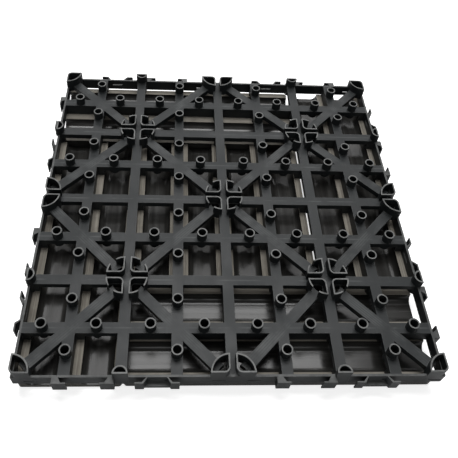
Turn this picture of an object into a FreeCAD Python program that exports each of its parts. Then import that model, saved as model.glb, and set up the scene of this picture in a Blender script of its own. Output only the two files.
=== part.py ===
# Interlocking 300 mm deck tile, lying face down: a moulded plastic base grid screwed to the backs
# of six composite boards.  Millimetres, +Z up.  The origin is the centre of the deck face, which is
# the underside here, so the boards' backs, the grid and its feet stack upwards from it.
import FreeCAD, Part
import Sketcher
import math
import os

doc = FreeCAD.newDocument("deck_tile")

# ---------------------------------------------------------------------------------------------
# Driving dimensions
# ---------------------------------------------------------------------------------------------
DIMENSIONS = [
    ("grid_pitch", 37.5, "distance between bar centre lines, an eighth of the 300 mm tile"),
    ("wall_half", 146.9, "centre of the tile to the outer face of the rim wall"),
    ("wall_thick", 1.6, "thickness of the rim wall"),
    ("bar_width", 8, "width of every bar and diagonal"),
    ("bar_depth", 5, "depth of a bar where it passes over a board's channel"),
    ("board_thick", 11, "thickness of a board at its ribs"),
    ("grid_height", 11, "height of the rim wall and of a bar where it rests on a rib"),
    ("foot_height", 8, "height of the feet and tubes above the bars"),
    ("tube_outer", 8, "outer diameter of a tube"),
    ("tube_inner", 6, "bore of a tube"),
    ("tube_drop", 3.5, "length of a tube below the bars over a channel"),
    ("tube_floor", 2.5, "thickness of the floor that a screw head bears on"),
    ("foot_side", 13.3, "length of a quarter-round foot's straight sides"),
    ("foot_corner", 4, "radius of a quarter-round foot's corner"),
    ("foot_wall", 1.1, "wall thickness of the feet"),
    ("foot_gap", 4, "gap between neighbouring quarter-round feet"),
    ("notch_width", 5.6, "width of the notch in a foot's arc where a diagonal runs in"),
    ("diagonal_end", 3, "how far a diagonal runs on inside a foot's arc"),
    ("half_foot_radius", 5.2, "radius of a half-round foot on the rim"),
    ("rim_proud", 0.5, "how far a half-round foot stands proud of the rim"),
    ("clip_reach", 4.2, "how far the clips reach out from the rim"),
    ("clip_wall", 1, "wall thickness of the clips"),
    ("clip_offset", 24.5, "distance of a clip from the middle of its side of the cell"),
    ("hook_neck", 14.8, "outer width of a hook clip where it leaves the rim"),
    ("hook_waist", 20.4, "outer width of a hook clip at its flanges"),
    ("hook_width", 30, "overall width of a hook clip"),
    ("hook_shelf", 3, "height of the shelf in a hook clip's mouth"),
    ("socket_width", 41, "overall width of a socket clip"),
    ("socket_mouth", 22.2, "width between a socket clip's lips"),
    ("socket_root", 4.2, "width of a socket clip's cheek at the rim"),
    ("slot_length", 9.5, "length of the slits in the rim wall"),
    ("slot_height", 1.6, "height of the slits in the rim wall"),
    ("board_width", 70.5, "width of a board"),
    ("board_gap", 3, "gap between neighbouring boards"),
    ("channel_width", 22.25, "width of each channel in a board's back"),
    ("channel_depth", 6.7, "depth of each channel in a board's back"),
    ("channel_radius", 5.5, "radius at the bottom corners of a channel"),
    ("centre_rib", 15, "width of a board's middle rib"),
    ("board_edge", 1.2, "rounding of a board's long edges on the deck face"),
    ("board_corner", 2.5, "corner radius of a board's cut ends"),
    ("screw_shank", 3.4, "diameter of a screw's shank"),
    ("pilot_hole", 3.5, "diameter of a pilot hole in a board"),
    ("screw_clearance", 3.8, "diameter of a screw hole in a tube's floor"),
    ("screw_head", 5.6, "diameter of a screw's head"),
    ("head_height", 2.4, "height of a screw's head"),
    ("screw_length", 9, "length of a screw below its head"),
    ("pilot_spare", 0.5, "how much deeper a pilot hole is than its screw"),
    ("recess_width", 0.9, "width of the cross recess in a screw head"),
    ("recess_span", 3.2, "span of the cross recess in a screw head"),
    ("recess_depth", 1.4, "depth of the cross recess in a screw head"),
]
sheet = doc.addObject("Spreadsheet::Sheet", "dims")
for row, (alias, value, meaning) in enumerate(DIMENSIONS, start=1):
    sheet.set(f"A{row}", alias)
    sheet.set(f"B{row}", str(value))
    sheet.set(f"C{row}", meaning)
    sheet.setAlias(f"B{row}", alias)
doc.recompute()


def size(alias):
    """Return a driving dimension as a number, for shapes that are not bound by expressions."""
    return float(sheet.get(alias))


# ---------------------------------------------------------------------------------------------
# Helpers: every length they take is an expression on the sheet
# ---------------------------------------------------------------------------------------------
GRID_BOTTOM = "dims.board_thick"
GRID_TOP = "dims.board_thick + dims.grid_height"
CELL = "dims.grid_pitch * 2"
ORIGIN = FreeCAD.Vector(0, 0, 0)


def new_body(name):
    """Add an empty body whose label is the name of the finished piece."""
    body = doc.addObject("PartDesign::Body", name)
    body.Label = name
    return body


def origin_feature(body, role):
    """Find one of a body's own origin planes or axes by its role."""
    for feature in body.Origin.OriginFeatures:
        if feature.Role == role:
            return feature
    raise ValueError(role)


def new_sketch(body, name, plane="XY_Plane", x="0", y="0", z="0", turn=0):
    """Add a sketch on an origin plane, moved in that plane's own frame and turned in degrees."""
    sketch = body.newObject("Sketcher::SketchObject", name)
    sketch.AttachmentSupport = [(origin_feature(body, plane), "")]
    sketch.MapMode = "FlatFace"
    sketch.AttachmentOffset = FreeCAD.Placement(ORIGIN, FreeCAD.Rotation(FreeCAD.Vector(0, 0, 1), turn))
    for axis, length in (("x", x), ("y", y), ("z", z)):
        sketch.setExpression(f"AttachmentOffset.Base.{axis}", f"({length}) * 1 mm")
    return sketch


def place_point(sketch, geometry, end, x, y, name):
    """Bind the place of one end of a line or arc, or of a circle's centre, to two expressions."""
    for kind, letter, length in (("DistanceX", "x", x), ("DistanceY", "y", y)):
        start = sketch.evalExpression(f"({length}) * 1 mm")
        index = sketch.addConstraint(Sketcher.Constraint(kind, -1, 1, geometry, end, float(start)))
        sketch.renameConstraint(index, f"{name}_{letter}")
        sketch.setExpression(f"Constraints.{name}_{letter}", f"({length}) * 1 mm")


def number(item, expression):
    """Evaluate an expression in millimetres, as an object of the document sees it."""
    return float(item.evalExpression(f"({expression}) * 1 mm"))


def draw_polygon(sketch, name, points):
    """Draw a closed outline of straight lines through points given as pairs of expressions."""
    corners = [FreeCAD.Vector(number(sketch, x), number(sketch, y), 0) for x, y in points]
    lines = []
    for start, end in zip(corners, corners[1:] + corners[:1]):
        lines.append(sketch.addGeometry(Part.LineSegment(start, end), False))
    for line, following in zip(lines, lines[1:] + lines[:1]):
        sketch.addConstraint(Sketcher.Constraint("Coincident", line, 2, following, 1))
    for index, (line, (x, y)) in enumerate(zip(lines, points)):
        place_point(sketch, line, 1, x, y, f"{name}_{index}")


def draw_rectangle(sketch, name, left, right, bottom, top):
    """Draw a rectangle between four expressions."""
    draw_polygon(sketch, name, [(left, bottom), (right, bottom), (right, top), (left, top)])


def draw_circle(sketch, name, x, y, diameter):
    """Draw a circle whose centre and diameter are expressions."""
    centre = FreeCAD.Vector(number(sketch, x), number(sketch, y), 0)
    radius = number(sketch, diameter) / 2
    circle = sketch.addGeometry(Part.Circle(centre, FreeCAD.Vector(0, 0, 1), radius), False)
    place_point(sketch, circle, 3, x, y, f"{name}_centre")
    index = sketch.addConstraint(Sketcher.Constraint("Diameter", circle, 2 * radius))
    sketch.renameConstraint(index, f"{name}_diameter")
    sketch.setExpression(f"Constraints.{name}_diameter", f"({diameter}) * 1 mm")


def extrude(body, kind, name, sketch, length):
    """Add a pad or a pocket of a sketch, its length bound to an expression."""
    feature = body.newObject(f"PartDesign::{kind}", name)
    feature.Profile = sketch
    feature.Refine = False
    feature.setExpression("Length", f"({length}) * 1 mm")
    return feature


def pad_up(body, name, sketch, length):
    """Pad a sketch towards its normal."""
    return extrude(body, "Pad", name, sketch, length)


def repeat(body, name, features, steps):
    """Repeat features by a chain of transformations, each a function that adds one of them."""
    transform = body.newObject("PartDesign::MultiTransform", name)
    transform.Originals = features
    transform.Refine = False
    chain = []
    for index, step in enumerate(steps):
        chain.append(step(body, f"{name}_{index}"))
    transform.Transformations = chain
    body.Tip = transform
    return transform


def along(role, pitch, count):
    """Return a step that repeats along an origin axis, count times, pitch apart."""
    def add(body, name):
        pattern = doc.addObject("PartDesign::LinearPattern", name)
        body.addObject(pattern)
        pattern.Direction = (origin_feature(body, role), [""])
        pattern.Occurrences = count
        pattern.setExpression("Length", f"({pitch}) * {count - 1} * 1 mm")
        return pattern
    return add


def around(count, axis=None):
    """Return a step that repeats round the vertical axis, or round the normal of a sketch."""
    def add(body, name):
        pattern = doc.addObject("PartDesign::PolarPattern", name)
        body.addObject(pattern)
        pattern.Axis = (axis, ["N_Axis"]) if axis else (origin_feature(body, "Z_Axis"), [""])
        pattern.Angle = 360
        pattern.Occurrences = count
        return pattern
    return add


def mirrored(role):
    """Return a step that mirrors across an origin plane."""
    def add(body, name):
        mirror = doc.addObject("PartDesign::Mirrored", name)
        body.addObject(mirror)
        mirror.MirrorPlane = (origin_feature(body, role), [""])
        return mirror
    return add


def join(kind, name, pieces):
    """Join finished shapes with a Part boolean: a MultiFuse of them all, or a Cut of two."""
    result = doc.addObject(f"Part::{kind}", name)
    result.Label = name
    if kind == "MultiFuse":
        result.Shapes = pieces
    else:
        result.Base, result.Tool = pieces
    return result


# ---------------------------------------------------------------------------------------------
# Base grid: one moulding, made from a frame, diagonals, tubes, feet and clips
# ---------------------------------------------------------------------------------------------
WALL = "dims.wall_half"
INNER = "(dims.wall_half - dims.wall_thick)"
BAR_UNDERSIDE = f"{GRID_TOP} - dims.bar_depth"
HALF_BAR = "dims.bar_width / 2"
INTO_WALL = "dims.wall_thick / 2"
BARS_EACH_WAY = 7
FIRST_BAR = "-3 * dims.grid_pitch"
FIRST_BAY = "-3.5 * dims.grid_pitch"

# Rim wall, and seven bars each way at their full depth
frame = new_body("grid_frame")
sketch = new_sketch(frame, "rim_outline", z=GRID_BOTTOM)
draw_rectangle(sketch, "outer", f"-{WALL}", WALL, f"-{WALL}", WALL)
draw_rectangle(sketch, "inner", f"-{INNER}", INNER, f"-{INNER}", INNER)
pad_up(frame, "rim_wall", sketch, "dims.grid_height")
bar_end = f"({INNER} + {INTO_WALL})"
for name, role, turn in (("lengthways", "X_Axis", 0), ("crossways", "Y_Axis", 90)):
    place = {"x": FIRST_BAR} if role == "X_Axis" else {"y": FIRST_BAR}
    sketch = new_sketch(frame, f"{name}_bar_outline", z=GRID_BOTTOM, turn=turn, **place)
    draw_rectangle(sketch, "bar", f"-{HALF_BAR}", HALF_BAR, f"-{bar_end}", bar_end)
    bar = pad_up(frame, f"{name}_bar", sketch, "dims.grid_height")
    repeat(frame, f"{name}_bars", [bar], [along(role, "dims.grid_pitch", BARS_EACH_WAY)])

# The bars are relieved over the channels in the boards' backs.  The outer boards chase each other
# round the tile, so their reliefs are one outline turned by quarters.
BOARD_PITCH = "(dims.board_width + dims.board_gap)"
BOARD_END = f"({BOARD_PITCH} - dims.board_gap / 2)"
CHANNEL_NEAR = "dims.centre_rib / 2"
CHANNEL_FAR = "(dims.centre_rib / 2 + dims.channel_width)"
CHANNEL_SIDES = [(CHANNEL_NEAR, CHANNEL_FAR), (f"-{CHANNEL_FAR}", f"-({CHANNEL_NEAR})")]
OUTER_MIDDLE = f"-1.5 * {BOARD_PITCH}"
INNER_MIDDLE = f"0.5 * {BOARD_PITCH}"
RELIEF_HEIGHT = "dims.grid_height - dims.bar_depth"
reliefs = new_body("grid_reliefs")
for ring, middle, front, turns in (
    ("outer", OUTER_MIDDLE, f"-{INNER}", 4), ("inner", INNER_MIDDLE, f"-{BOARD_END}", 2),
):
    sketch = new_sketch(reliefs, f"{ring}_relief_outline", z=GRID_BOTTOM)
    for index, sides in enumerate(CHANNEL_SIDES):
        left, right = [f"{middle} + {side}" for side in sides]
        draw_rectangle(sketch, f"channel_{index}", left, right, front, BOARD_END)
    relief = pad_up(reliefs, f"{ring}_relief", sketch, RELIEF_HEIGHT)
    repeat(reliefs, f"{ring}_reliefs", [relief], [around(turns)])

# A bar that lies along the gap between two boards is relieved too, in every bay, so that only the
# bars across it stand on the boards there
HALF_BAY = f"({INNER} + {FIRST_BAY})"
for ring, line, first, bays, turns in (
    ("outer", f"-{CELL}", FIRST_BAY, 6, 4), ("inner", "0", "-1.5 * dims.grid_pitch", 4, 2),
):
    sketch = new_sketch(reliefs, f"{ring}_gap_outline", x=line, y=first, z=GRID_BOTTOM)
    draw_rectangle(sketch, "bay", f"-{HALF_BAR}", HALF_BAR, f"-{HALF_BAY}", HALF_BAY)
    relief = pad_up(reliefs, f"{ring}_gap_relief", sketch, RELIEF_HEIGHT)
    steps = [along("Y_Axis", "dims.grid_pitch", bays), around(turns)]
    repeat(reliefs, f"{ring}_gap_reliefs", [relief], steps)
relieved_frame = join("Cut", "grid_relieved_frame", [frame, reliefs])

# Diagonals: two through the centre to the corners, and four that join the middles of the sides
diagonals = new_body("grid_diagonals")
sketch = new_sketch(diagonals, "long_diagonal_outline", z=BAR_UNDERSIDE, turn=45)
reach = "(dims.wall_half - dims.foot_side / 2) * sqrt(2)"
draw_rectangle(sketch, "bar", f"-{HALF_BAR}", HALF_BAR, f"-{reach}", reach)
diagonal = pad_up(diagonals, "long_diagonal", sketch, "dims.bar_depth")
repeat(diagonals, "long_diagonals", [diagonal], [around(4)])
sketch = new_sketch(diagonals, "short_diagonal_outline", z=BAR_UNDERSIDE, turn=45, x=CELL, y=CELL)
reach = "(dims.wall_half - dims.foot_side) / sqrt(2)"
draw_rectangle(sketch, "bar", f"-{HALF_BAR}", HALF_BAR, f"-{reach}", reach)
diagonal = pad_up(diagonals, "short_diagonal", sketch, "dims.bar_depth")
repeat(diagonals, "short_diagonals", [diagonal], [around(4)])

# Tubes stand in the middle of every bay of the odd-numbered bars, both ways
TUBE_BOTTOM = f"{BAR_UNDERSIDE} - dims.tube_drop"
TUBE_LENGTH = "dims.tube_drop + dims.bar_depth + dims.foot_height"
TUBED_BARS = 4
BAYS = BARS_EACH_WAY + 1
TUBE_ROWS = {
    "lengthways": [along("X_Axis", CELL, TUBED_BARS), along("Y_Axis", "dims.grid_pitch", BAYS)],
    "crossways": [along("Y_Axis", CELL, TUBED_BARS), along("X_Axis", "dims.grid_pitch", BAYS)],
}


def tube_field(body, name, bottom, diameter, length):
    """Add round pads at every tube position, in two fields for the two directions of bar."""
    for way, steps in TUBE_ROWS.items():
        x, y = (FIRST_BAR, FIRST_BAY) if way == "lengthways" else (FIRST_BAY, FIRST_BAR)
        outline = new_sketch(body, f"{name}_{way}_outline", x=x, y=y, z=bottom)
        draw_circle(outline, "round", "0", "0", diameter)
        pad = pad_up(body, f"{name}_{way}", outline, length)
        repeat(body, f"{name}_{way}_field", [pad], steps)


tubes = new_body("grid_tubes")
tube_field(tubes, "tube", TUBE_BOTTOM, "dims.tube_outer", TUBE_LENGTH)

# Quarter-round feet: two straight walls that meet in a rounded corner, closed by an arc
SIDE = "dims.foot_side"
CORNER = "dims.foot_corner"


def draw_quarter(sketch, name, x, y, inset, side=SIDE):
    """Draw a quarter-round foot's outline with its apex at x, y, drawn in by an inset."""
    apex_x, apex_y, skin = number(sketch, x), number(sketch, y), number(sketch, inset)
    radius = number(sketch, side) - skin
    corner = size("foot_corner") - skin
    run = math.sqrt(radius**2 - skin**2)
    bend = skin + corner

    def at(across, up):
        return FreeCAD.Vector(apex_x + across, apex_y + up, 0)

    normal = FreeCAD.Vector(0, 0, 1)
    start_angle = math.asin(skin / radius)
    side_x = sketch.addGeometry(Part.LineSegment(at(bend, skin), at(run, skin)), False)
    big = Part.ArcOfCircle(Part.Circle(at(0, 0), normal, radius), start_angle, math.pi / 2 - start_angle)
    arc = sketch.addGeometry(big, False)
    side_y = sketch.addGeometry(Part.LineSegment(at(skin, run), at(skin, bend)), False)
    small = Part.ArcOfCircle(Part.Circle(at(bend, bend), normal, corner), math.pi, 1.5 * math.pi)
    turn = sketch.addGeometry(small, False)
    sketch.addConstraint([
        Sketcher.Constraint("Coincident", side_x, 2, arc, 1),
        Sketcher.Constraint("Coincident", arc, 2, side_y, 1),
        Sketcher.Constraint("Tangent", side_y, 2, turn, 1),
        Sketcher.Constraint("Tangent", turn, 2, side_x, 1),
        Sketcher.Constraint("Horizontal", side_x),
        Sketcher.Constraint("Vertical", side_y),
    ])
    place_point(sketch, arc, 3, x, y, f"{name}_apex")
    for geometry, label, length in (
        (arc, "radius", f"{side} - {inset}"),
        (turn, "corner", f"{CORNER} - {inset}"),
    ):
        index = sketch.addConstraint(Sketcher.Constraint("Radius", geometry, number(sketch, length)))
        sketch.renameConstraint(index, f"{name}_{label}")
        sketch.setExpression(f"Constraints.{name}_{label}", f"({length}) * 1 mm")
    for geometry, kind, label, length in (
        (side_x, "DistanceY", "side_x", f"{y} + {inset}"),
        (side_y, "DistanceX", "side_y", f"{x} + {inset}"),
    ):
        index = sketch.addConstraint(Sketcher.Constraint(kind, -1, 1, geometry, 1, number(sketch, length)))
        sketch.renameConstraint(index, f"{name}_{label}")
        sketch.setExpression(f"Constraints.{name}_{label}", f"({length}) * 1 mm")


HALF_GAP = "dims.foot_gap / 2"
SHELL_HEIGHT = "dims.bar_depth + dims.foot_height"


# name, middle of its group on the tile's diagonal, apex from that middle, and turns round the middle
QUARTER_FEET = [
    ("corner_foot", "0", f"-{WALL}", f"-{WALL}", 0),
    ("side_foot", "0", HALF_GAP, f"-{WALL}", 0),
    ("middle_foot", "0", HALF_GAP, HALF_GAP, 0),
    ("cell_foot", CELL, HALF_GAP, HALF_GAP, 4),
]


def repeat_quarters(body, name, outline, pad, own_turns):
    """Repeat what belongs to one quarter-round foot at every other one of its kind."""
    steps = [around(own_turns, outline)] if own_turns else []
    if name == "side_foot":
        steps.append(mirrored("YZ_Plane"))
    repeat(body, f"{pad.Name}_ring", [pad], steps + [around(4)])


feet = new_body("grid_feet")
for name, middle, apex_x, apex_y, own_turns in QUARTER_FEET:
    outline = new_sketch(feet, f"{name}_outline", x=middle, y=middle, z=BAR_UNDERSIDE)
    draw_quarter(outline, "outer", apex_x, apex_y, "0")
    draw_quarter(outline, "inner", apex_x, apex_y, "dims.foot_wall")
    foot = pad_up(feet, name, outline, SHELL_HEIGHT)
    repeat_quarters(feet, name, outline, foot, own_turns)

# Half-round feet on the rim, in the middle of each cell's side: a solid pilaster below the bars'
# tops and a hollow half ring above them
ROUND = "dims.half_foot_radius"
PROUD = "dims.rim_proud"


def draw_half_round(sketch, name, inset):
    """Draw a D with its flat side just outside the rim, drawn in by an inset."""
    skin = number(sketch, inset)
    radius = size("half_foot_radius") - skin
    flat = skin - size("rim_proud")
    half = math.sqrt(radius**2 - flat**2)
    angle = math.asin(flat / radius)
    base = Part.LineSegment(FreeCAD.Vector(-half, flat, 0), FreeCAD.Vector(half, flat, 0))
    line = sketch.addGeometry(base, False)
    circle = Part.Circle(ORIGIN, FreeCAD.Vector(0, 0, 1), radius)
    arc = sketch.addGeometry(Part.ArcOfCircle(circle, angle, math.pi - angle), False)
    sketch.addConstraint([
        Sketcher.Constraint("Coincident", line, 2, arc, 1),
        Sketcher.Constraint("Coincident", arc, 2, line, 1),
        Sketcher.Constraint("Coincident", arc, 3, -1, 1),
        Sketcher.Constraint("Horizontal", line),
    ])
    for kind, geometry, label, length in (
        ("Radius", arc, "radius", f"{ROUND} - {inset}"),
        ("DistanceY", line, "flat", f"{inset} - {PROUD}"),
    ):
        value = number(sketch, length)
        where = (geometry,) if kind == "Radius" else (-1, 1, geometry, 1)
        index = sketch.addConstraint(Sketcher.Constraint(kind, *where, value))
        sketch.renameConstraint(index, f"{name}_{label}")
        sketch.setExpression(f"Constraints.{name}_{label}", f"({length}) * 1 mm")


SIDE_STEPS = [along("X_Axis", f"2 * {CELL}", 2), around(4)]
sketch = new_sketch(feet, "pilaster_outline", x=f"-({CELL})", y=f"-{WALL}", z=GRID_BOTTOM)
draw_half_round(sketch, "outer", "0")
pilaster = pad_up(feet, "pilaster", sketch, "dims.grid_height")
sketch = new_sketch(feet, "half_foot_outline", x=f"-({CELL})", y=f"-{WALL}", z=GRID_TOP)
draw_half_round(sketch, "outer", "0")
draw_half_round(sketch, "inner", "dims.foot_wall")
half_foot = pad_up(feet, "half_foot", sketch, "dims.foot_height")
repeat(feet, "half_feet", [pilaster, half_foot], SIDE_STEPS)

# Clips: each side of a cell has a socket to the left of its middle and a hook to the right, seen
# from outside, so a side of one tile always meets a side of the next
clips = new_body("grid_clips")
REACH = "dims.clip_reach"
SKIN = "dims.clip_wall"
LIP = f"({REACH} - {SKIN})"
NECK = "(dims.hook_neck / 2)"
WAIST = "(dims.hook_waist / 2)"
FLANGE = "(dims.hook_width / 2)"
HOOK_LEG = [
    (NECK, INTO_WALL), (NECK, "0"), (WAIST, f"-{LIP}"), (FLANGE, f"-{LIP}"), (FLANGE, f"-{REACH}"),
    (f"({WAIST} - {SKIN})", f"-{REACH}"), (f"({NECK} - {SKIN})", "0"), (f"({NECK} - {SKIN})", INTO_WALL),
]
CHEEK = "(dims.socket_width / 2)"
ROOT = f"({CHEEK} - dims.socket_root)"
MOUTH = "(dims.socket_mouth / 2)"
SOCKET_CHEEK = [
    (CHEEK, INTO_WALL), (CHEEK, f"-{REACH}"), (MOUTH, f"-{REACH}"), (MOUTH, f"-{LIP}"),
    (f"({ROOT} - 2 * {SKIN})", f"-{LIP}"), (ROOT, "0"), (ROOT, INTO_WALL),
]
for name, points, side in (("hook", HOOK_LEG, 1), ("socket", SOCKET_CHEEK, -1)):
    place = f"-({CELL}) + {side} * dims.clip_offset"
    sketch = new_sketch(clips, f"{name}_outline", x=place, y=f"-{WALL}", z=GRID_BOTTOM)
    draw_polygon(sketch, "right", points)
    draw_polygon(sketch, "left", [(f"-{x}", y) for x, y in points])
    clip = pad_up(clips, name, sketch, "dims.grid_height")
    repeat(clips, f"{name}s", [clip], SIDE_STEPS)
HOOK_PLACE = f"-({CELL}) + dims.clip_offset"
sketch = new_sketch(clips, "hook_shelf_outline", x=HOOK_PLACE, y=f"-{WALL}", z=GRID_BOTTOM)
shelf_front = f"-({LIP})"
draw_polygon(sketch, "shelf", [
    (f"-({NECK} - {SKIN} / 2)", INTO_WALL), (f"-({WAIST} - {SKIN})", shelf_front),
    (f"({WAIST} - {SKIN})", shelf_front), (f"({NECK} - {SKIN} / 2)", INTO_WALL),
])
shelf = pad_up(clips, "hook_shelf", sketch, "dims.hook_shelf")
repeat(clips, "hook_shelves", [shelf], SIDE_STEPS)

# What is cut away after everything is joined
cuts = new_body("grid_cuts")
CLEAR = "1"
BORE_DEPTH = "dims.grid_height + dims.foot_height - dims.tube_floor"
BORE_BOTTOM = f"{GRID_BOTTOM} + dims.tube_floor"
tube_field(cuts, "bore", BORE_BOTTOM, "dims.tube_inner", f"{BORE_DEPTH} + {CLEAR}")

# A diagonal passes into each foot of a cluster through a notch in its arc
notch_near = f"({SIDE} + {HALF_GAP}) / 2"
notch_far = f"({SIDE} + dims.foot_gap)"
for name, middle in (("middle", "0"), ("cell", CELL)):
    sketch = new_sketch(cuts, f"{name}_notch_outline", x=middle, y=middle, z=GRID_TOP, turn=45)
    draw_rectangle(sketch, "notch", "-dims.notch_width / 2", "dims.notch_width / 2", notch_near, notch_far)
    notch = pad_up(cuts, f"{name}_notch", sketch, f"dims.foot_height + {CLEAR}")
    own_turns = [around(4, sketch)] if name == "cell" else []
    repeat(cuts, f"{name}_notches", [notch], own_turns + [around(4)])

# The quarter-round feet are hollow right through, but for the ends of the diagonals at their arcs
for name, middle, apex_x, apex_y, own_turns in QUARTER_FEET:
    outline = new_sketch(cuts, f"{name}_hollow_outline", x=middle, y=middle, z=f"{GRID_BOTTOM} - {CLEAR}")
    draw_quarter(outline, "hollow", apex_x, apex_y, "dims.wall_thick", f"({SIDE} - dims.diagonal_end)")
    hollow = pad_up(cuts, f"{name}_hollow", outline, f"dims.grid_height + {CLEAR} * 2")
    repeat_quarters(cuts, name, outline, hollow, own_turns)

# Slits through the rim: one behind each hook's mouth and one beside each corner of a cell
SLIT_LEVEL = f"{GRID_BOTTOM} + dims.hook_shelf"
SLIT_PLACES = {
    "hook_slit": (HOOK_PLACE, "dims.slot_height"),
    "left_slit": (f"-2 * {CELL} + dims.foot_side + {HALF_GAP}", "0"),
    "right_slit": (f"-1 * ({SIDE}) / 2 - {HALF_GAP}", "0"),
}
for name, (place, lift) in SLIT_PLACES.items():
    # The XZ plane's normal points to the front, so the slit is padded outwards through the rim
    level = f"{SLIT_LEVEL} + {lift}"
    sketch = new_sketch(cuts, f"{name}_outline", plane="XZ_Plane", x=place, y=level, z=f"{INNER} - {CLEAR}")
    draw_rectangle(sketch, "slit", "-dims.slot_length / 2", "dims.slot_length / 2", "0", "dims.slot_height")
    slit = pad_up(cuts, name, sketch, f"dims.wall_thick + dims.rim_proud + 2 * {CLEAR}")
    repeat(cuts, f"{name}s", [slit], SIDE_STEPS)

# Screws pass through the floors of some of the tubes that stand on the boards' middle ribs
OUTER_TUBES = (-3.5, -1.5, -0.5, 1.5)
INNER_TUBES = (-1.5, 1.5)
for ring, line, tube_steps, turns in (
    ("outer", FIRST_BAR, OUTER_TUBES, 4), ("inner", "dims.grid_pitch", INNER_TUBES, 2),
):
    sketch = new_sketch(cuts, f"{ring}_screw_hole_outline", x=line, z=f"{GRID_BOTTOM} - {CLEAR}")
    for index, tube_step in enumerate(tube_steps):
        draw_circle(sketch, f"hole_{index}", "0", f"{tube_step} * dims.grid_pitch", "dims.screw_clearance")
    hole = pad_up(cuts, f"{ring}_screw_hole", sketch, f"dims.tube_floor + 2 * {CLEAR}")
    repeat(cuts, f"{ring}_screw_holes", [hole], [around(turns)])

grid_solid = join("MultiFuse", "grid_solid", [relieved_frame, diagonals, tubes, feet, clips])
base_grid = join("Cut", "base_grid", [grid_solid, cuts])
base_grid.Refine = True
doc.recompute()

# ---------------------------------------------------------------------------------------------
# Boards: one extruded section with two round-cornered channels in its back
# ---------------------------------------------------------------------------------------------
HALF_BOARD = "(dims.board_width / 2)"
CHANNEL_FLOOR = "(dims.board_thick - dims.channel_depth)"
RIGHT_SECTION = [
    (HALF_BOARD, "0"), (HALF_BOARD, GRID_BOTTOM), (CHANNEL_FAR, GRID_BOTTOM), (CHANNEL_FAR, CHANNEL_FLOOR),
    (CHANNEL_NEAR, CHANNEL_FLOOR), (CHANNEL_NEAR, GRID_BOTTOM),
]
LEFT_SECTION = [(f"-({x})", z) for x, z in reversed(RIGHT_SECTION)]


def ends_of(edge):
    """Return the two end points of an edge."""
    return edge.Vertexes[0].Point, edge.Vertexes[-1].Point


def on_channel_floor(edge):
    """Tell whether an edge runs along the bottom corner of a channel."""
    start, end = ends_of(edge)
    level = size("board_thick") - size("channel_depth")
    return abs(start.z - level) < 0.01 and abs(end.z - level) < 0.01 and abs(start.y - end.y) > 1


def at_board_corner(edge):
    """Tell whether an edge is one of the four upright corners of the board."""
    start, end = ends_of(edge)
    side = size("board_width") / 2
    return abs(start.z - end.z) > 1 and abs(abs(start.x) - side) < 0.01 and abs(start.y - end.y) < 0.01


def on_deck_face(edge):
    """Tell whether an edge lies in the deck face."""
    start, end = ends_of(edge)
    return start.z < 0.01 and end.z < 0.01


def round_edges(body, name, base, chosen, radius):
    """Fillet the edges of a feature that a test picks."""
    doc.recompute()
    names = [f"Edge{index}" for index, edge in enumerate(base.Shape.Edges, start=1) if chosen(edge)]
    fillet = body.newObject("PartDesign::Fillet", name)
    fillet.Base = (base, names)
    fillet.setExpression("Radius", f"{radius} * 1 mm")
    return fillet


def make_board(name, near_end, pilot_x, pilots):
    """Make a board that runs along its own Y axis, with pilot holes beside the line of its middle."""
    board = new_body(name)
    # The XZ plane's normal points to -Y, so the section is set back to the far end and padded forwards
    section = new_sketch(board, f"{name}_section", plane="XZ_Plane", z=f"-({BOARD_END})")
    draw_polygon(section, "side", RIGHT_SECTION + LEFT_SECTION)
    blank = pad_up(board, f"{name}_blank", section, f"{BOARD_END} - ({near_end})")
    bends = round_edges(board, f"{name}_bends", blank, on_channel_floor, "dims.channel_radius")
    corners = round_edges(board, f"{name}_corners", bends, at_board_corner, "dims.board_corner")
    eased = round_edges(board, f"{name}_eased", corners, on_deck_face, "dims.board_edge")
    holes = new_sketch(board, f"{name}_pilot_outline", z=GRID_BOTTOM)
    for index, place in enumerate(pilots):
        draw_circle(holes, f"pilot_{index}", pilot_x, place, "dims.pilot_hole")
    depth = "dims.screw_length - dims.tube_floor + dims.pilot_spare"
    drilled = extrude(board, "Pocket", f"{name}_pilots", holes, depth)
    board.Tip = drilled
    doc.recompute()
    if drilled.Shape.Volume >= eased.Shape.Volume:
        raise RuntimeError(f"{name}: the pilot holes cut nothing")
    return board


# ---------------------------------------------------------------------------------------------
# Screws: one pan-head screw with a cross recess, its origin under its head
# ---------------------------------------------------------------------------------------------
screw = new_body("screw_pattern")
HEAD = "(dims.screw_head / 2)"
SHANK = "(dims.screw_shank / 2)"
sketch = new_sketch(screw, "screw_profile", plane="XZ_Plane")
draw_polygon(sketch, "profile", [
    ("0", "-dims.screw_length"), (SHANK, f"-dims.screw_length + {SHANK} * 2"), (SHANK, "0"), (HEAD, "0"),
    (HEAD, "dims.head_height * 0.5"), (f"{HEAD} * 0.7", "dims.head_height"), ("0", "dims.head_height"),
])
turned = screw.newObject("PartDesign::Revolution", "screw_turned")
turned.Profile = sketch
turned.ReferenceAxis = (sketch, ["V_Axis"])
turned.Angle = 360
BLADE = "(dims.recess_width / 2)"
SPAN = "(dims.recess_span / 2)"
cross = [(BLADE, BLADE), (BLADE, SPAN), (f"-{BLADE}", SPAN), (f"-{BLADE}", BLADE)]
outline = list(cross)
for _ in range(3):
    cross = [(f"-({y})", x) for x, y in cross]
    outline += cross[1:]
sketch = new_sketch(screw, "recess_outline", z="dims.head_height")
draw_polygon(sketch, "cross", outline[:-1])
recess = extrude(screw, "Pocket", "screw_recess", sketch, "dims.recess_depth")
screw.Tip = recess
doc.recompute()
if recess.Shape.Volume >= turned.Shape.Volume:
    raise RuntimeError("the cross recess cut nothing")

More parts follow.
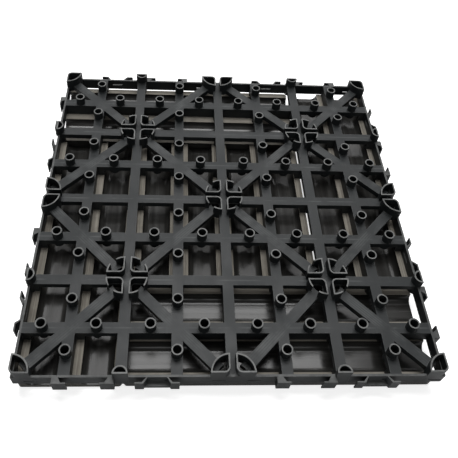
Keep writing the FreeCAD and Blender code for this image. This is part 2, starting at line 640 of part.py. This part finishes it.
# ---------------------------------------------------------------------------------------------
# Laying the boards: four chase each other round the tile, and two fill the middle
# ---------------------------------------------------------------------------------------------
OUTER_END = f"({BOARD_END} - 3 * {BOARD_PITCH} + dims.board_gap)"

# name, place in the pattern, quarter turns, and how far the board slid along its run and to its
# right when it was screwed down
BOARDS = [
    ("left", "outer", 0, -0.3, 0.0),
    ("front", "outer", 1, 2.0, 0.0),
    ("right", "outer", 2, 0.6, -0.6),
    ("rear", "outer", 3, -0.4, 1.4),
    ("centre_right", "inner", 0, 0.4, -0.4),
    ("centre_left", "inner", 2, -0.3, 0.0),
]
screw_seat = size("board_thick") + size("tube_floor")
nodes = [base_grid]
for place, ring, turns, slid, aside in BOARDS:
    spin = FreeCAD.Rotation(FreeCAD.Vector(0, 0, 1), 90 * turns)
    if ring == "outer":
        middle = number(base_grid, OUTER_MIDDLE)
        tube_line = number(base_grid, FIRST_BAR)
        near_end = OUTER_END
        pilot_line = f"{FIRST_BAR} - ({OUTER_MIDDLE})"
        steps = OUTER_TUBES
    else:
        middle = number(base_grid, INNER_MIDDLE)
        tube_line = size("grid_pitch")
        near_end = f"-{BOARD_END}"
        pilot_line = f"dims.grid_pitch - ({INNER_MIDDLE})"
        steps = INNER_TUBES
    # The holes stay under their tubes, so they move back by as much as the board slid
    pilots = [f"{step} * dims.grid_pitch - ({slid})" for step in steps]
    board = make_board(f"board_{place}", near_end, f"{pilot_line} - ({aside})", pilots)
    moved = spin.multVec(FreeCAD.Vector(middle + aside, slid, 0))
    board.Placement = FreeCAD.Placement(moved, spin)

    # Each board's screws are one group of separate solids
    seats = []
    for step in steps:
        seat = spin.multVec(FreeCAD.Vector(tube_line, step * size("grid_pitch"), screw_seat))
        placed = screw.Shape.copy()
        placed.Placement = FreeCAD.Placement(seat, spin)
        seats.append(placed)
    screws = doc.addObject("Part::Feature", f"screws_{place}")
    screws.Label = f"screws_{place}"
    screws.Shape = Part.makeCompound(seats)
    nodes += [board, screws]
doc.recompute()

# ---------------------------------------------------------------------------------------------
# Checks and export
# ---------------------------------------------------------------------------------------------
for item in doc.Objects:
    if "Invalid" in item.State or "Error" in item.State:
        raise RuntimeError(f"{item.Name} failed: {item.State}")
for node in nodes:
    if node.Shape.isNull() or not node.Shape.isValid():
        raise RuntimeError(f"{node.Label} has no valid shape")
os.makedirs("parts", exist_ok=True)
for node in nodes:
    node.Shape.exportStep(f"parts/{node.Label}.step")
    box = node.Shape.BoundBox
    spans = f"{box.XLength:.1f} x {box.YLength:.1f} x {box.ZLength:.1f}"
    print(f"{node.Label}: {len(node.Shape.Solids)} solids, {spans}")
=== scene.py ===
"""Interlocking deck tile lying face down, dressed on its CAD frame: the black moulded grid, the
composite boards under it and their screws, on a pale floor in soft studio light."""
import math

import bpy
from mathutils import Matrix, Vector


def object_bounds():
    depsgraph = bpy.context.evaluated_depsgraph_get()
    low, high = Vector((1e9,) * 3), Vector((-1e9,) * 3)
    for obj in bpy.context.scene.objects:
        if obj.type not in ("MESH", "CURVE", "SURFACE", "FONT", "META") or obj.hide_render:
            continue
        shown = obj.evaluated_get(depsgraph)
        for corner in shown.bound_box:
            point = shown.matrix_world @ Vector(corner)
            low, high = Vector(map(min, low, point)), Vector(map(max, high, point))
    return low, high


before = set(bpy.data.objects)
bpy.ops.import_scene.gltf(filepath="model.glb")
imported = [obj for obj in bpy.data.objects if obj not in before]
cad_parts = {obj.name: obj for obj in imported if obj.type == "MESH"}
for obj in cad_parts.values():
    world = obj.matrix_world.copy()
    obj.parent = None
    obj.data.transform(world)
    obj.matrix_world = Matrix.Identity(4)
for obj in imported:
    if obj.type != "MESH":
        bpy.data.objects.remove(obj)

scene = bpy.context.scene
MM = 0.001
BAR_PITCH = 37.5 * MM
WALL_INSIDE = 145.3 * MM
BOARD_THICK = 11 * MM
# Both of these are measured along x or y, so across a diagonal they are shorter by the root of two
DIAGONAL_HALF = 7 * MM
STRIPE_PITCH = 2.4 * MM
BEVEL_SAMPLES = 6
cad_low, cad_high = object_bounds()
FEET_TOP = cad_high.z


# ---------------------------------------------------------------------------------------------
# Node helpers: a material is a chain of values, each of them an output socket or a number
# ---------------------------------------------------------------------------------------------
class Surface:
    """Builds one procedural material in the object's own coordinates, which are metres."""

    def __init__(self, name):
        self.material = bpy.data.materials.new(name)
        self.material.use_nodes = True
        self.tree = self.material.node_tree
        self.tree.nodes.clear()
        self.output = self.tree.nodes.new("ShaderNodeOutputMaterial")
        self.shader = self.tree.nodes.new("ShaderNodeBsdfPrincipled")
        self.tree.links.new(self.shader.outputs["BSDF"], self.output.inputs["Surface"])
        self.place = self.tree.nodes.new("ShaderNodeTexCoord").outputs["Object"]

    def feed(self, socket, value):
        """Link a socket to an output, or set it to a plain value."""
        if isinstance(value, bpy.types.NodeSocket):
            self.tree.links.new(value, socket)
        else:
            socket.default_value = value

    def math(self, operation, first, second=0.0, clamp=False):
        node = self.tree.nodes.new("ShaderNodeMath")
        node.operation = operation
        node.use_clamp = clamp
        self.feed(node.inputs[0], first)
        self.feed(node.inputs[1], second)
        return node.outputs[0]

    def split(self, vector):
        node = self.tree.nodes.new("ShaderNodeSeparateXYZ")
        self.feed(node.inputs[0], vector)
        return node.outputs

    def stretched(self, scale):
        """The object's coordinates, scaled by a different amount along each axis."""
        node = self.tree.nodes.new("ShaderNodeMapping")
        self.feed(node.inputs["Vector"], self.place)
        node.inputs["Scale"].default_value = scale
        return node.outputs[0]

    def noise(self, scale, detail=3.0, roughness=0.55, vector=None):
        node = self.tree.nodes.new("ShaderNodeTexNoise")
        self.feed(node.inputs["Vector"], vector or self.place)
        node.inputs["Scale"].default_value = scale
        node.inputs["Detail"].default_value = detail
        node.inputs["Roughness"].default_value = roughness
        return node.outputs["Fac"]

    def dots(self, scale):
        """Distance to the nearest point of a scattered field."""
        node = self.tree.nodes.new("ShaderNodeTexVoronoi")
        self.feed(node.inputs["Vector"], self.place)
        node.inputs["Scale"].default_value = scale
        return node.outputs["Distance"]

    def ramp(self, value, low, high, start=0.0, end=1.0, smooth=True):
        """Map low..high to start..end, held at both ends."""
        node = self.tree.nodes.new("ShaderNodeMapRange")
        node.interpolation_type = "SMOOTHSTEP" if smooth else "LINEAR"
        self.feed(node.inputs["Value"], value)
        for name, number in (("From Min", low), ("From Max", high), ("To Min", start), ("To Max", end)):
            self.feed(node.inputs[name], number)
        return node.outputs["Result"]

    def blend(self, amount, first, second):
        """Mix two colours."""
        node = self.tree.nodes.new("ShaderNodeMix")
        node.data_type = "RGBA"
        self.feed(node.inputs["Factor"], amount)
        for socket, value in ((node.inputs[6], first), (node.inputs[7], second)):
            self.feed(socket, value if isinstance(value, bpy.types.NodeSocket) else (*value, 1.0))
        return node.outputs[2]

    def layer(self, base, mask, strength, colour):
        """Lay a colour over the base where a mask says, at most as strongly as given."""
        return self.blend(self.math("MULTIPLY", mask, strength), base, colour)

    def facing(self):
        """The surface's own direction, as x, y and z outputs."""
        return self.split(self.tree.nodes.new("ShaderNodeNewGeometry").outputs["Normal"])

    def line(self, value, spacing, half_width):
        """1 along evenly spaced lines of a coordinate, fading to 0 at half_width from them."""
        away = self.math("PINGPONG", value, spacing / 2)
        return self.ramp(away, half_width / 2, half_width, 1.0, 0.0)

    def stripes(self, value):
        """Fine lines along the diagonals, whose middles lie evenly spaced across a coordinate."""
        inside = self.line(value, 4 * BAR_PITCH, DIAGONAL_HALF)
        return self.math("MULTIPLY", inside, self.line(value, STRIPE_PITCH, STRIPE_PITCH / 2))

    def soft_edges(self, radius):
        """The shading normal with every sharp edge rounded."""
        bevel = self.tree.nodes.new("ShaderNodeBevel")
        bevel.samples = BEVEL_SAMPLES
        bevel.inputs["Radius"].default_value = radius
        return bevel.outputs[0]

    def edge_sharpness(self, radius):
        """How sharply the surface turns within a radius: 0 on flats, rising to 1 along edges."""
        geometry = self.tree.nodes.new("ShaderNodeNewGeometry")
        dot = self.tree.nodes.new("ShaderNodeVectorMath")
        dot.operation = "DOT_PRODUCT"
        self.feed(dot.inputs[0], self.soft_edges(radius))
        self.feed(dot.inputs[1], geometry.outputs["Normal"])
        return self.ramp(dot.outputs["Value"], 0.995, 0.8, smooth=False)

    def relief(self, height, distance, strength, normal):
        """A bump laid on another normal."""
        node = self.tree.nodes.new("ShaderNodeBump")
        node.inputs["Strength"].default_value = strength
        node.inputs["Distance"].default_value = distance
        self.feed(node.inputs["Height"], height)
        self.feed(node.inputs["Normal"], normal)
        return node.outputs[0]

    def finish(self, **values):
        """Set the shader's sockets, whose names are given with underscores for spaces."""
        for name, value in values.items():
            self.feed(self.shader.inputs[name.replace("_", " ")], value)
        return self.material


# ---------------------------------------------------------------------------------------------
# Grid: moulded plastic
# ---------------------------------------------------------------------------------------------
def painted_top_highlight(s, x, y, z, up):
    """Painted highlight on the tops: the feet's rims at full strength, and the rim wall's at half."""
    foot_top = s.ramp(z, FEET_TOP - 0.4 * MM, FEET_TOP - 0.1 * MM)
    outwards = s.math("MAXIMUM", s.math("ABSOLUTE", x), s.math("ABSOLUTE", y))
    rim_top = s.math("MULTIPLY", s.ramp(outwards, WALL_INSIDE - 0.1 * MM, WALL_INSIDE + 0.1 * MM), 0.5)
    highlit = s.math("MULTIPLY", s.math("MAXIMUM", foot_top, rim_top), up)
    return s.math("MULTIPLY", highlit, s.ramp(s.noise(160), 0.3, 0.6, 0.45, 1.0))


def painted_seam_highlights(s, x, y, up):
    """Painted highlight: faint broken lighter lines along the middles of the bars that run along x, and
    along the diagonals, on the moulding seams.
    """
    stripes = s.math("MAXIMUM", s.stripes(s.math("ADD", x, y)), s.stripes(s.math("SUBTRACT", x, y)))
    seam = s.math("MAXIMUM", s.line(y, BAR_PITCH, 0.7 * MM), stripes)
    return s.math("MULTIPLY", s.math("MULTIPLY", seam, up), s.ramp(s.noise(45, detail=4), 0.42, 0.62))


def moulded_plastic():
    """Recycled black polypropylene: satin, faintly mottled, with chalky scuffs; edges lighter, partly worn
    and partly a painted highlight; painted highlights on the top rims and along the moulding seams.
    """
    s = Surface("moulded_plastic")
    x, y, z = s.split(s.place)
    up = s.ramp(s.facing()[2], 0.8, 0.95)
    mottle = s.noise(35, detail=4)
    flow = s.noise(1.0, detail=3, vector=s.stretched((260, 60, 120)))
    speck = s.ramp(s.dots(900), 0.0, 0.14, 1.0, 0.0)
    # Edges lighter: partly worn, partly a painted highlight of rounded edges catching the light
    lighter_edges = s.math("MULTIPLY", s.edge_sharpness(0.7 * MM), s.ramp(s.noise(220), 0.3, 0.65, 0.35, 1.0))
    scuff_field = s.noise(1.0, detail=5, roughness=0.7, vector=s.stretched((700, 90, 300)))
    scuff = s.ramp(scuff_field, 0.63, 0.78)
    base = s.blend(s.ramp(mottle, 0.3, 0.7), (0.0065, 0.0082, 0.0090), (0.0110, 0.0132, 0.0140))
    base = s.layer(base, s.ramp(flow, 0.45, 0.75), 0.35, (0.018, 0.0205, 0.0212))
    # Painted highlight along the moulding seams of the bars and diagonals
    base = s.layer(base, painted_seam_highlights(s, x, y, up), 0.6, (0.055, 0.059, 0.059))
    # Lighter edges, partly worn and partly a painted highlight
    base = s.layer(base, lighter_edges, 0.60, (0.110, 0.113, 0.111))
    # Painted highlight on the feet's rims and the rim wall's top
    base = s.layer(base, painted_top_highlight(s, x, y, z, up), 0.85, (0.145, 0.147, 0.144))
    base = s.layer(base, scuff, 0.25, (0.070, 0.070, 0.068))
    base = s.layer(base, speck, 0.25, (0.05, 0.049, 0.046))
    rough = s.ramp(mottle, 0.25, 0.75, 0.40, 0.56)
    rough = s.math("ADD", rough, s.math("MULTIPLY", scuff, 0.14), clamp=True)
    grain = s.noise(1900, detail=2)
    normal = s.relief(grain, 0.03 * MM, 0.35, s.soft_edges(0.35 * MM))
    normal = s.relief(mottle, 0.25 * MM, 0.35, normal)
    return s.finish(Base_Color=base, Roughness=rough, Normal=normal, Specular_IOR_Level=0.26)


# ---------------------------------------------------------------------------------------------
# Boards: wood-plastic composite
# ---------------------------------------------------------------------------------------------
# How deep the fine lines in a channel are beside those of a brushed face
FLOOR_LINES = 0.35
BRUSHED_ROUGH = 0.78
CUT_ROUGH = 0.6


def composite_colour(s, fibre, band, brushed_face, end_face):
    """Dark smooth channels, and paler brushed faces and cut ends."""
    smooth_floor = s.blend(s.ramp(band, 0.3, 0.7), (0.014, 0.0135, 0.0125), (0.024, 0.0235, 0.022))
    smooth_floor = s.layer(smooth_floor, s.ramp(fibre, 0.55, 0.8), 0.4, (0.034, 0.033, 0.031))
    brushed = s.blend(s.ramp(fibre, 0.35, 0.68), (0.125, 0.115, 0.097), (0.235, 0.218, 0.188))
    stain = s.ramp(s.noise(60, detail=4), 0.5, 0.75)
    brushed = s.layer(brushed, stain, 0.45, (0.060, 0.054, 0.046))
    cut = s.blend(s.ramp(s.noise(700, detail=5), 0.35, 0.65), (0.045, 0.044, 0.040), (0.085, 0.082, 0.074))
    return s.blend(end_face, s.blend(brushed_face, smooth_floor, brushed), cut)


def composite_board(name, run, gloss, channel_rough):
    """Wood-plastic composite: smooth extruded channels; brushed rib tops and deck face; cut ends."""
    s = Surface(name)
    streak_scale = (1600, 22, 1600) if run == "y" else (22, 1600, 1600)
    broad_scale = (260, 6, 260) if run == "y" else (6, 260, 260)
    fibre = s.noise(1.0, detail=4, roughness=0.6, vector=s.stretched(streak_scale))
    band = s.noise(1.0, detail=3, vector=s.stretched(broad_scale))
    facing = s.facing()
    end_face = s.ramp(s.math("ABSOLUTE", facing[1] if run == "y" else facing[0]), 0.8, 0.95)
    at_ribs = s.ramp(s.split(s.place)[2], BOARD_THICK - 0.4 * MM, BOARD_THICK - 0.1 * MM)
    rib_top = s.math("MULTIPLY", at_ribs, s.ramp(facing[2], 0.8, 0.95))
    brushed_face = s.math("MAXIMUM", rib_top, s.ramp(facing[2], -0.8, -0.95))
    base = composite_colour(s, fibre, band, brushed_face, end_face)
    rough = s.blend(brushed_face, (channel_rough,) * 3, (BRUSHED_ROUGH,) * 3)
    rough = s.split(s.blend(end_face, rough, (CUT_ROUGH,) * 3))[0]
    rough = s.math("ADD", rough, s.ramp(band, 0.3, 0.7, -0.04, 0.06), clamp=True)
    # The extrusion's fine lines spread its gloss across the board, and a brushed face has deeper ones
    lines = s.math("MULTIPLY", fibre, s.ramp(brushed_face, 0.0, 1.0, FLOOR_LINES, 1.0))
    normal = s.relief(lines, 0.12 * MM, 0.6, s.soft_edges(0.3 * MM))
    return s.finish(Base_Color=base, Roughness=rough, Normal=normal, Specular_IOR_Level=gloss)


# ---------------------------------------------------------------------------------------------
# Screws and floor
# ---------------------------------------------------------------------------------------------
def black_steel():
    """Black-coated screw, worn bright round its recess and rim."""
    s = Surface("black_steel")
    lighter_edges = s.math("MULTIPLY", s.edge_sharpness(0.25 * MM), s.ramp(s.noise(900), 0.35, 0.6, 0.3, 1.0))
    base = s.blend(s.ramp(s.noise(500), 0.35, 0.65), (0.020, 0.020, 0.022), (0.040, 0.040, 0.042))
    base = s.blend(lighter_edges, base, (0.32, 0.31, 0.30))
    rough = s.ramp(s.noise(700), 0.3, 0.7, 0.30, 0.48)
    normal = s.relief(s.noise(2500), 0.01 * MM, 0.5, s.soft_edges(0.15 * MM))
    return s.finish(Base_Color=base, Roughness=rough, Normal=normal, Metallic=0.9)


FLOOR_GLOW = 0.70


def pale_floor():
    """Plain studio floor, which glows to the camera alone, so that it turns white in the picture."""
    s = Surface("pale_floor")
    tone = s.blend(s.ramp(s.noise(3), 0.3, 0.7), (0.70, 0.70, 0.70), (0.74, 0.74, 0.74))
    s.finish(Base_Color=tone, Roughness=0.9)
    glow = s.tree.nodes.new("ShaderNodeEmission")
    glow.inputs["Strength"].default_value = FLOOR_GLOW
    both = s.tree.nodes.new("ShaderNodeAddShader")
    seen = s.tree.nodes.new("ShaderNodeLightPath").outputs["Is Camera Ray"]
    mix = s.tree.nodes.new("ShaderNodeMixShader")
    s.tree.links.new(s.shader.outputs["BSDF"], both.inputs[0])
    s.tree.links.new(glow.outputs[0], both.inputs[1])
    s.tree.links.new(seen, mix.inputs[0])
    s.tree.links.new(s.shader.outputs["BSDF"], mix.inputs[1])
    s.tree.links.new(both.outputs[0], mix.inputs[2])
    s.tree.links.new(mix.outputs[0], s.output.inputs["Surface"])
    return s.material


# ---------------------------------------------------------------------------------------------
# Dressing the CAD nodes
# ---------------------------------------------------------------------------------------------
def dress(node, material):
    """Put one material on every slot of a CAD node."""
    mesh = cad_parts[node].data
    if not mesh.materials:
        mesh.materials.append(material)
    for index in range(len(mesh.materials)):
        mesh.materials[index] = material


# A board's run, its gloss and how rough its channels are; the photograph's rear ones shine silver
LENGTHWISE_LOOK = ("y", 0.17, 0.22)
CROSSWISE_LOOKS = {"board_front": ("x", 0.3, 0.22), "board_rear": ("x", 0.5, 0.28)}
grid_material = moulded_plastic()
screw_material = black_steel()
for node in sorted(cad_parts):
    if node.startswith("board_"):
        look = CROSSWISE_LOOKS.get(node, LENGTHWISE_LOOK)
        dress(node, composite_board(f"composite_{node}", *look))
    elif node.startswith("screws_"):
        dress(node, screw_material)
    else:
        dress(node, grid_material)

# ---------------------------------------------------------------------------------------------
# Floor, lights and camera
# ---------------------------------------------------------------------------------------------
FLOOR_HALF = 4.0
FLOOR_GAP = 0.1 * MM
FLOOR_CORNERS = ((-1, -1), (1, -1), (1, 1), (-1, 1))
floor_points = [(x * FLOOR_HALF, y * FLOOR_HALF, cad_low.z - FLOOR_GAP) for x, y in FLOOR_CORNERS]
floor_mesh = bpy.data.meshes.new("floor")
floor_mesh.from_pydata(floor_points, [], [(0, 1, 2, 3)])
floor = bpy.data.objects.new("floor", floor_mesh)
scene.collection.objects.link(floor)
floor_mesh.materials.append(pale_floor())


def area_light(name, place, width, depth, watts):
    """A soft box at a place, turned to the tile's middle."""
    light = bpy.data.lights.new(name, "AREA")
    light.shape = "RECTANGLE"
    light.size = width
    light.size_y = depth
    light.energy = watts
    box = bpy.data.objects.new(name, light)
    box.location = place
    box.rotation_euler = (-Vector(place)).to_track_quat("-Z", "Y").to_euler()
    scene.collection.objects.link(box)


area_light("overhead", (0.0, 0.40, 1.45), width=1.1, depth=0.7, watts=20.5)
area_light("back", (0.1, 1.25, 1.2), width=1.6, depth=0.3, watts=10)
area_light("low_back", (0.0, 1.5, 0.6), width=1.6, depth=0.5, watts=4)
area_light("front", (0.0, -1.3, 0.9), width=1.4, depth=0.5, watts=5)

# The world lights the tile faintly, and to the camera alone it is as pale as the floor far off
WORLD_LIGHT = 0.18
WORLD_SEEN = 0.86
world = bpy.data.worlds.new("studio")
world.use_nodes = True
world_nodes = world.node_tree.nodes
seen_by_camera = world_nodes.new("ShaderNodeLightPath").outputs["Is Camera Ray"]
strength = world_nodes.new("ShaderNodeMapRange")
strength.inputs["To Min"].default_value = WORLD_LIGHT
strength.inputs["To Max"].default_value = WORLD_SEEN
world.node_tree.links.new(seen_by_camera, strength.inputs["Value"])
background = world_nodes["Background"]
background.inputs["Color"].default_value = (1, 1, 1, 1)
world.node_tree.links.new(strength.outputs["Result"], background.inputs["Strength"])
scene.world = world
scene.view_settings.view_transform = "Standard"

CAMERA_PLACE = (-0.0436, -0.2809, 0.4018)
HEADING = math.radians(-5.46)
DIP = math.radians(49.33)
TILT = math.radians(5.27)
LENS = 44.3
SHIFT_X, SHIFT_Y = 0.048, -0.151
camera_data = bpy.data.cameras.new("camera")
camera = bpy.data.objects.new("camera", camera_data)
scene.collection.objects.link(camera)
scene.camera = camera
turn = (
    Matrix.Rotation(HEADING, 4, "Z")
    @ Matrix.Rotation(math.pi / 2 - DIP, 4, "X")
    @ Matrix.Rotation(TILT, 4, "Z")
)
camera.matrix_world = Matrix.Translation(CAMERA_PLACE) @ turn
camera_data.lens = LENS
camera_data.shift_x = SHIFT_X
camera_data.shift_y = SHIFT_Y
